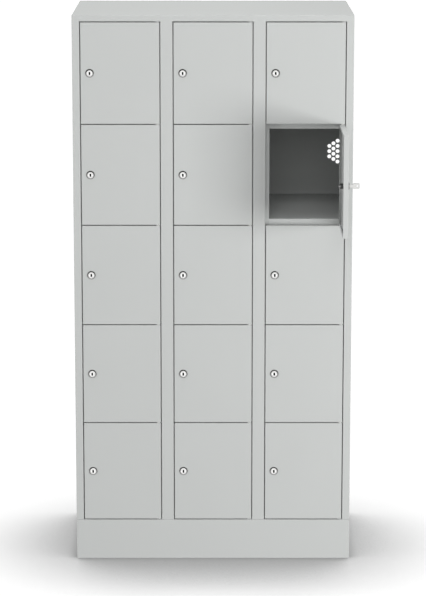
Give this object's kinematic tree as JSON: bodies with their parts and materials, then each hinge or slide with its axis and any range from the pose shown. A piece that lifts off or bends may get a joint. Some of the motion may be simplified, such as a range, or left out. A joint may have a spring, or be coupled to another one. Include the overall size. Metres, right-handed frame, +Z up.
{
  "type": "compartment locker",
  "caption": "Free-standing sheet-steel locker on a plinth, with hinged compartment doors, cylinder locks and a vented back.",
  "frame": {"origin": "on the floor, under the middle of the cabinet's footprint", "axes": "+X to the right seen from the front, +Y to the back, +Z up; the doors face -Y"},
  "size_m": [0.9086, 0.738, 1.8],
  "materials": {
    "cabinet_paint": "fine-textured light grey powder coat",
    "door_paint": "fine-textured light grey powder coat",
    "lock_housing": "satin nickel plate",
    "lock_core": "turned nickel-plated brass",
    "key_steel": "nickel-plated, satin",
    "hinge_steel": "zinc plated",
    "hinge_nylon": "natural nylon"
  },
  "bodies": {
    "cabinet": {"side_panel_left": "cabinet_paint", "side_panel_right": "cabinet_paint", "roof_panel": "cabinet_paint", "bottom_panel": "cabinet_paint", "back_panel": "cabinet_paint", "partition_left": "cabinet_paint", "partition_right": "cabinet_paint", "post_left": "cabinet_paint", "post_right": "cabinet_paint", "shelves": "cabinet_paint", "plinth": "cabinet_paint", "hinge_plates": "cabinet_paint", "hinge_pins": "hinge_steel", "hinge_sleeves": "hinge_nylon"},
    "door_r1c1": {"door_r1c1": "door_paint", "lock_barrel_r1c1": "lock_housing"},
    "lock_r1c1": {"lock_core_r1c1": "lock_core"},
    "door_r1c2": {"door_r1c2": "door_paint", "lock_barrel_r1c2": "lock_housing"},
    "lock_r1c2": {"lock_core_r1c2": "lock_core"},
    "door_r1c3": {"door_r1c3": "door_paint", "lock_barrel_r1c3": "lock_housing"},
    "lock_r1c3": {"lock_core_r1c3": "lock_core"},
    "door_r2c1": {"door_r2c1": "door_paint", "lock_barrel_r2c1": "lock_housing"},
    "lock_r2c1": {"lock_core_r2c1": "lock_core"},
    "door_r2c2": {"door_r2c2": "door_paint", "lock_barrel_r2c2": "lock_housing"},
    "lock_r2c2": {"lock_core_r2c2": "lock_core"},
    "door_r2c3": {"door_r2c3": "door_paint", "lock_barrel_r2c3": "lock_housing"},
    "lock_r2c3": {"lock_core_r2c3": "lock_core"},
    "door_r3c1": {"door_r3c1": "door_paint", "lock_barrel_r3c1": "lock_housing"},
    "lock_r3c1": {"lock_core_r3c1": "lock_core"},
    "door_r3c2": {"door_r3c2": "door_paint", "lock_barrel_r3c2": "lock_housing"},
    "lock_r3c2": {"lock_core_r3c2": "lock_core"},
    "door_r3c3": {"door_r3c3": "door_paint", "lock_barrel_r3c3": "lock_housing"},
    "lock_r3c3": {"lock_core_r3c3": "lock_core"},
    "door_r4c1": {"door_r4c1": "door_paint", "lock_barrel_r4c1": "lock_housing"},
    "lock_r4c1": {"lock_core_r4c1": "lock_core"},
    "door_r4c2": {"door_r4c2": "door_paint", "lock_barrel_r4c2": "lock_housing"},
    "lock_r4c2": {"lock_core_r4c2": "lock_core"},
    "door_r4c3": {"door_r4c3": "door_paint", "lock_barrel_r4c3": "lock_housing"},
    "lock_r4c3": {"lock_core_r4c3": "lock_core"},
    "door_r5c1": {"door_r5c1": "door_paint", "lock_barrel_r5c1": "lock_housing"},
    "lock_r5c1": {"lock_core_r5c1": "lock_core"},
    "door_r5c2": {"door_r5c2": "door_paint", "lock_barrel_r5c2": "lock_housing"},
    "lock_r5c2": {"lock_core_r5c2": "lock_core"},
    "door_r5c3": {"door_r5c3": "door_paint", "lock_barrel_r5c3": "lock_housing"},
    "lock_r5c3": {"lock_core_r5c3": "lock_core"},
    "key_r2c3": {"key_r2c3": "key_steel"}
  },
  "joints": [
    {"name": "door_r1c1_hinge", "type": "hinge", "parent": "cabinet", "child": "door_r1c1", "pos_m": [-0.178, -0.243, 1.614], "axis": [0, 0, 1], "range_deg": [0, 105]},
    {"name": "lock_r1c1_turn", "type": "hinge", "parent": "door_r1c1", "child": "lock_r1c1", "pos_m": [-0.394, -0.25, 1.614], "axis": [0, 1, 0], "range_deg": [0, 90]},
    {"name": "door_r1c2_hinge", "type": "hinge", "parent": "cabinet", "child": "door_r1c2", "pos_m": [0.119, -0.243, 1.614], "axis": [0, 0, 1], "range_deg": [0, 105]},
    {"name": "lock_r1c2_turn", "type": "hinge", "parent": "door_r1c2", "child": "lock_r1c2", "pos_m": [-0.097, -0.25, 1.614], "axis": [0, 1, 0], "range_deg": [0, 90]},
    {"name": "door_r1c3_hinge", "type": "hinge", "parent": "cabinet", "child": "door_r1c3", "pos_m": [0.416, -0.243, 1.614], "axis": [0, 0, 1], "range_deg": [0, 105]},
    {"name": "lock_r1c3_turn", "type": "hinge", "parent": "door_r1c3", "child": "lock_r1c3", "pos_m": [0.2, -0.25, 1.614], "axis": [0, 1, 0], "range_deg": [0, 90]},
    {"name": "door_r2c1_hinge", "type": "hinge", "parent": "cabinet", "child": "door_r2c1", "pos_m": [-0.178, -0.243, 1.285], "axis": [0, 0, 1], "range_deg": [0, 105]},
    {"name": "lock_r2c1_turn", "type": "hinge", "parent": "door_r2c1", "child": "lock_r2c1", "pos_m": [-0.394, -0.25, 1.285], "axis": [0, 1, 0], "range_deg": [0, 90]},
    {"name": "door_r2c2_hinge", "type": "hinge", "parent": "cabinet", "child": "door_r2c2", "pos_m": [0.119, -0.243, 1.285], "axis": [0, 0, 1], "range_deg": [0, 105]},
    {"name": "lock_r2c2_turn", "type": "hinge", "parent": "door_r2c2", "child": "lock_r2c2", "pos_m": [-0.097, -0.25, 1.285], "axis": [0, 1, 0], "range_deg": [0, 90]},
    {"name": "door_r2c3_hinge", "type": "hinge", "parent": "cabinet", "child": "door_r2c3", "pos_m": [0.416, -0.243, 1.285], "axis": [0, 0, 1], "range_deg": [-90, 15]},
    {"name": "lock_r2c3_turn", "type": "hinge", "parent": "door_r2c3", "child": "lock_r2c3", "pos_m": [0.423, -0.459, 1.285], "axis": [-1, 0, 0], "range_deg": [0, 90]},
    {"name": "door_r3c1_hinge", "type": "hinge", "parent": "cabinet", "child": "door_r3c1", "pos_m": [-0.178, -0.243, 0.956], "axis": [0, 0, 1], "range_deg": [0, 105]},
    {"name": "lock_r3c1_turn", "type": "hinge", "parent": "door_r3c1", "child": "lock_r3c1", "pos_m": [-0.394, -0.25, 0.956], "axis": [0, 1, 0], "range_deg": [0, 90]},
    {"name": "door_r3c2_hinge", "type": "hinge", "parent": "cabinet", "child": "door_r3c2", "pos_m": [0.119, -0.243, 0.956], "axis": [0, 0, 1], "range_deg": [0, 105]},
    {"name": "lock_r3c2_turn", "type": "hinge", "parent": "door_r3c2", "child": "lock_r3c2", "pos_m": [-0.097, -0.25, 0.956], "axis": [0, 1, 0], "range_deg": [0, 90]},
    {"name": "door_r3c3_hinge", "type": "hinge", "parent": "cabinet", "child": "door_r3c3", "pos_m": [0.416, -0.243, 0.956], "axis": [0, 0, 1], "range_deg": [0, 105]},
    {"name": "lock_r3c3_turn", "type": "hinge", "parent": "door_r3c3", "child": "lock_r3c3", "pos_m": [0.2, -0.25, 0.956], "axis": [0, 1, 0], "range_deg": [0, 90]},
    {"name": "door_r4c1_hinge", "type": "hinge", "parent": "cabinet", "child": "door_r4c1", "pos_m": [-0.178, -0.243, 0.627], "axis": [0, 0, 1], "range_deg": [0, 105]},
    {"name": "lock_r4c1_turn", "type": "hinge", "parent": "door_r4c1", "child": "lock_r4c1", "pos_m": [-0.394, -0.25, 0.627], "axis": [0, 1, 0], "range_deg": [0, 90]},
    {"name": "door_r4c2_hinge", "type": "hinge", "parent": "cabinet", "child": "door_r4c2", "pos_m": [0.119, -0.243, 0.627], "axis": [0, 0, 1], "range_deg": [0, 105]},
    {"name": "lock_r4c2_turn", "type": "hinge", "parent": "door_r4c2", "child": "lock_r4c2", "pos_m": [-0.097, -0.25, 0.627], "axis": [0, 1, 0], "range_deg": [0, 90]},
    {"name": "door_r4c3_hinge", "type": "hinge", "parent": "cabinet", "child": "door_r4c3", "pos_m": [0.416, -0.243, 0.627], "axis": [0, 0, 1], "range_deg": [0, 105]},
    {"name": "lock_r4c3_turn", "type": "hinge", "parent": "door_r4c3", "child": "lock_r4c3", "pos_m": [0.2, -0.25, 0.627], "axis": [0, 1, 0], "range_deg": [0, 90]},
    {"name": "door_r5c1_hinge", "type": "hinge", "parent": "cabinet", "child": "door_r5c1", "pos_m": [-0.178, -0.243, 0.298], "axis": [0, 0, 1], "range_deg": [0, 105]},
    {"name": "lock_r5c1_turn", "type": "hinge", "parent": "door_r5c1", "child": "lock_r5c1", "pos_m": [-0.394, -0.25, 0.298], "axis": [0, 1, 0], "range_deg": [0, 90]},
    {"name": "door_r5c2_hinge", "type": "hinge", "parent": "cabinet", "child": "door_r5c2", "pos_m": [0.119, -0.243, 0.298], "axis": [0, 0, 1], "range_deg": [0, 105]},
    {"name": "lock_r5c2_turn", "type": "hinge", "parent": "door_r5c2", "child": "lock_r5c2", "pos_m": [-0.097, -0.25, 0.298], "axis": [0, 1, 0], "range_deg": [0, 90]},
    {"name": "door_r5c3_hinge", "type": "hinge", "parent": "cabinet", "child": "door_r5c3", "pos_m": [0.416, -0.243, 0.298], "axis": [0, 0, 1], "range_deg": [0, 105]},
    {"name": "lock_r5c3_turn", "type": "hinge", "parent": "door_r5c3", "child": "lock_r5c3", "pos_m": [0.2, -0.25, 0.298], "axis": [0, 1, 0], "range_deg": [0, 90]},
    {"name": "key_r2c3_slide", "type": "slide", "parent": "lock_r2c3", "child": "key_r2c3", "axis": [1, 0, 0], "range_m": [0, 0.03]}
  ]
}
